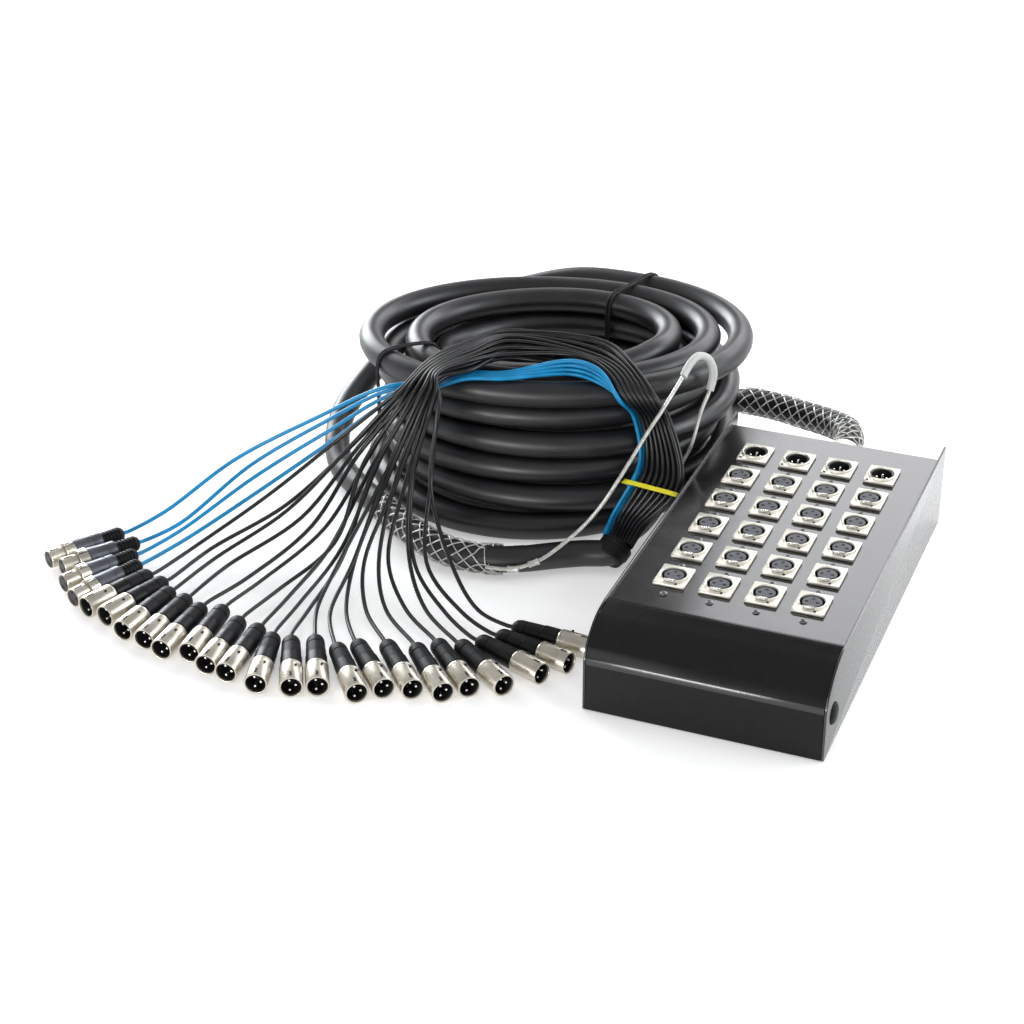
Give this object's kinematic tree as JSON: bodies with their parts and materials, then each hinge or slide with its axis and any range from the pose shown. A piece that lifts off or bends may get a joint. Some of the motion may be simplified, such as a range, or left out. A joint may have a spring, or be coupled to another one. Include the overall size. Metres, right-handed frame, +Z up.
{
  "type": "stage box snake",
  "caption": "Steel stage box with rows of three-pin panel connectors, a coiled multicore trunk cable with a wire grip at each end, and a fan-out of tails with a cable plug on each.",
  "frame": {"origin": "middle of the steel box's underside", "axes": "+X to the box's right seen from its sloped front, +Y from the front to the rear wall with the gland, +Z up"},
  "size_m": [0.6974, 0.6084, 0.1613],
  "materials": {
    "black_sheet": "satin black paint",
    "nickel": "satin nickel plate",
    "latch_metal": "bright nickel plate",
    "dark_shell": "dark grey lacquer",
    "cable_black": "satin black jacket",
    "tail_blue": "satin blue jacket",
    "tie_yellow": "matte",
    "wire_rope": "galvanised wire"
  },
  "bodies": {
    "stage_box": {"stage_box_chassis": "black_sheet", "connector_panel": "black_sheet", "return_sockets": "nickel", "input_sockets": "nickel", "rear_cord_grip": "wire_rope", "front_pulling_grip": "wire_rope", "trunk_lead": "cable_black", "trunk_coil": "cable_black", "trunk_end": "cable_black", "black_tails": "cable_black", "blue_tails": "tail_blue", "yellow_tie": "tie_yellow", "male_plug_1": "nickel", "male_plug_2": "nickel", "male_plug_3": "nickel", "male_plug_4": "nickel", "male_plug_5": "nickel", "male_plug_6": "nickel", "male_plug_7": "nickel", "male_plug_8": "nickel", "male_plug_9": "nickel", "male_plug_10": "nickel", "male_plug_11": "nickel", "male_plug_12": "nickel", "male_plug_13": "nickel", "male_plug_14": "nickel", "male_plug_15": "nickel", "male_plug_16": "nickel", "male_plug_17": "nickel", "male_plug_18": "nickel", "male_plug_19": "nickel", "male_plug_20": "nickel", "female_plug_1": "dark_shell", "female_plug_2": "dark_shell", "female_plug_3": "dark_shell", "female_plug_4": "dark_shell"},
    "socket_latch_row_1_column_1_body": {"socket_latch_row_1_column_1": "latch_metal"},
    "socket_latch_row_1_column_2_body": {"socket_latch_row_1_column_2": "latch_metal"},
    "socket_latch_row_1_column_3_body": {"socket_latch_row_1_column_3": "latch_metal"},
    "socket_latch_row_1_column_4_body": {"socket_latch_row_1_column_4": "latch_metal"},
    "socket_latch_row_2_column_1_body": {"socket_latch_row_2_column_1": "latch_metal"},
    "socket_latch_row_2_column_2_body": {"socket_latch_row_2_column_2": "latch_metal"},
    "socket_latch_row_2_column_3_body": {"socket_latch_row_2_column_3": "latch_metal"},
    "socket_latch_row_2_column_4_body": {"socket_latch_row_2_column_4": "latch_metal"},
    "socket_latch_row_3_column_1_body": {"socket_latch_row_3_column_1": "latch_metal"},
    "socket_latch_row_3_column_2_body": {"socket_latch_row_3_column_2": "latch_metal"},
    "socket_latch_row_3_column_3_body": {"socket_latch_row_3_column_3": "latch_metal"},
    "socket_latch_row_3_column_4_body": {"socket_latch_row_3_column_4": "latch_metal"},
    "socket_latch_row_4_column_1_body": {"socket_latch_row_4_column_1": "latch_metal"},
    "socket_latch_row_4_column_2_body": {"socket_latch_row_4_column_2": "latch_metal"},
    "socket_latch_row_4_column_3_body": {"socket_latch_row_4_column_3": "latch_metal"},
    "socket_latch_row_4_column_4_body": {"socket_latch_row_4_column_4": "latch_metal"},
    "socket_latch_row_5_column_1_body": {"socket_latch_row_5_column_1": "latch_metal"},
    "socket_latch_row_5_column_2_body": {"socket_latch_row_5_column_2": "latch_metal"},
    "socket_latch_row_5_column_3_body": {"socket_latch_row_5_column_3": "latch_metal"},
    "socket_latch_row_5_column_4_body": {"socket_latch_row_5_column_4": "latch_metal"},
    "female_plug_1_lever_body": {"female_plug_1_lever": "latch_metal"},
    "female_plug_2_lever_body": {"female_plug_2_lever": "latch_metal"},
    "female_plug_3_lever_body": {"female_plug_3_lever": "latch_metal"},
    "female_plug_4_lever_body": {"female_plug_4_lever": "latch_metal"}
  },
  "joints": [
    {"name": "socket_latch_row_1_column_1_push", "type": "slide", "parent": "stage_box", "child": "socket_latch_row_1_column_1_body", "axis": [0, 0, -1], "range_m": [0, 0.0015], "stiffness_N_per_m": 1200},
    {"name": "socket_latch_row_1_column_2_push", "type": "slide", "parent": "stage_box", "child": "socket_latch_row_1_column_2_body", "axis": [0, 0, -1], "range_m": [0, 0.0015], "stiffness_N_per_m": 1200},
    {"name": "socket_latch_row_1_column_3_push", "type": "slide", "parent": "stage_box", "child": "socket_latch_row_1_column_3_body", "axis": [0, 0, -1], "range_m": [0, 0.0015], "stiffness_N_per_m": 1200},
    {"name": "socket_latch_row_1_column_4_push", "type": "slide", "parent": "stage_box", "child": "socket_latch_row_1_column_4_body", "axis": [0, 0, -1], "range_m": [0, 0.0015], "stiffness_N_per_m": 1200},
    {"name": "socket_latch_row_2_column_1_push", "type": "slide", "parent": "stage_box", "child": "socket_latch_row_2_column_1_body", "axis": [0, 0, -1], "range_m": [0, 0.0015], "stiffness_N_per_m": 1200},
    {"name": "socket_latch_row_2_column_2_push", "type": "slide", "parent": "stage_box", "child": "socket_latch_row_2_column_2_body", "axis": [0, 0, -1], "range_m": [0, 0.0015], "stiffness_N_per_m": 1200},
    {"name": "socket_latch_row_2_column_3_push", "type": "slide", "parent": "stage_box", "child": "socket_latch_row_2_column_3_body", "axis": [0, 0, -1], "range_m": [0, 0.0015], "stiffness_N_per_m": 1200},
    {"name": "socket_latch_row_2_column_4_push", "type": "slide", "parent": "stage_box", "child": "socket_latch_row_2_column_4_body", "axis": [0, 0, -1], "range_m": [0, 0.0015], "stiffness_N_per_m": 1200},
    {"name": "socket_latch_row_3_column_1_push", "type": "slide", "parent": "stage_box", "child": "socket_latch_row_3_column_1_body", "axis": [0, 0, -1], "range_m": [0, 0.0015], "stiffness_N_per_m": 1200},
    {"name": "socket_latch_row_3_column_2_push", "type": "slide", "parent": "stage_box", "child": "socket_latch_row_3_column_2_body", "axis": [0, 0, -1], "range_m": [0, 0.0015], "stiffness_N_per_m": 1200},
    {"name": "socket_latch_row_3_column_3_push", "type": "slide", "parent": "stage_box", "child": "socket_latch_row_3_column_3_body", "axis": [0, 0, -1], "range_m": [0, 0.0015], "stiffness_N_per_m": 1200},
    {"name": "socket_latch_row_3_column_4_push", "type": "slide", "parent": "stage_box", "child": "socket_latch_row_3_column_4_body", "axis": [0, 0, -1], "range_m": [0, 0.0015], "stiffness_N_per_m": 1200},
    {"name": "socket_latch_row_4_column_1_push", "type": "slide", "parent": "stage_box", "child": "socket_latch_row_4_column_1_body", "axis": [0, 0, -1], "range_m": [0, 0.0015], "stiffness_N_per_m": 1200},
    {"name": "socket_latch_row_4_column_2_push", "type": "slide", "parent": "stage_box", "child": "socket_latch_row_4_column_2_body", "axis": [0, 0, -1], "range_m": [0, 0.0015], "stiffness_N_per_m": 1200},
    {"name": "socket_latch_row_4_column_3_push", "type": "slide", "parent": "stage_box", "child": "socket_latch_row_4_column_3_body", "axis": [0, 0, -1], "range_m": [0, 0.0015], "stiffness_N_per_m": 1200},
    {"name": "socket_latch_row_4_column_4_push", "type": "slide", "parent": "stage_box", "child": "socket_latch_row_4_column_4_body", "axis": [0, 0, -1], "range_m": [0, 0.0015], "stiffness_N_per_m": 1200},
    {"name": "socket_latch_row_5_column_1_push", "type": "slide", "parent": "stage_box", "child": "socket_latch_row_5_column_1_body", "axis": [0, 0, -1], "range_m": [0, 0.0015], "stiffness_N_per_m": 1200},
    {"name": "socket_latch_row_5_column_2_push", "type": "slide", "parent": "stage_box", "child": "socket_latch_row_5_column_2_body", "axis": [0, 0, -1], "range_m": [0, 0.0015], "stiffness_N_per_m": 1200},
    {"name": "socket_latch_row_5_column_3_push", "type": "slide", "parent": "stage_box", "child": "socket_latch_row_5_column_3_body", "axis": [0, 0, -1], "range_m": [0, 0.0015], "stiffness_N_per_m": 1200},
    {"name": "socket_latch_row_5_column_4_push", "type": "slide", "parent": "stage_box", "child": "socket_latch_row_5_column_4_body", "axis": [0, 0, -1], "range_m": [0, 0.0015], "stiffness_N_per_m": 1200},
    {"name": "female_plug_1_lever_push", "type": "slide", "parent": "stage_box", "child": "female_plug_1_lever_body", "axis": [0, 0, -1], "range_m": [0, 0.001], "stiffness_N_per_m": 1200},
    {"name": "female_plug_2_lever_push", "type": "slide", "parent": "stage_box", "child": "female_plug_2_lever_body", "axis": [0, 0, -1], "range_m": [0, 0.001], "stiffness_N_per_m": 1200},
    {"name": "female_plug_3_lever_push", "type": "slide", "parent": "stage_box", "child": "female_plug_3_lever_body", "axis": [0, 0, -1], "range_m": [0, 0.001], "stiffness_N_per_m": 1200},
    {"name": "female_plug_4_lever_push", "type": "slide", "parent": "stage_box", "child": "female_plug_4_lever_body", "axis": [0, 0, -1], "range_m": [0, 0.001], "stiffness_N_per_m": 1200}
  ]
}
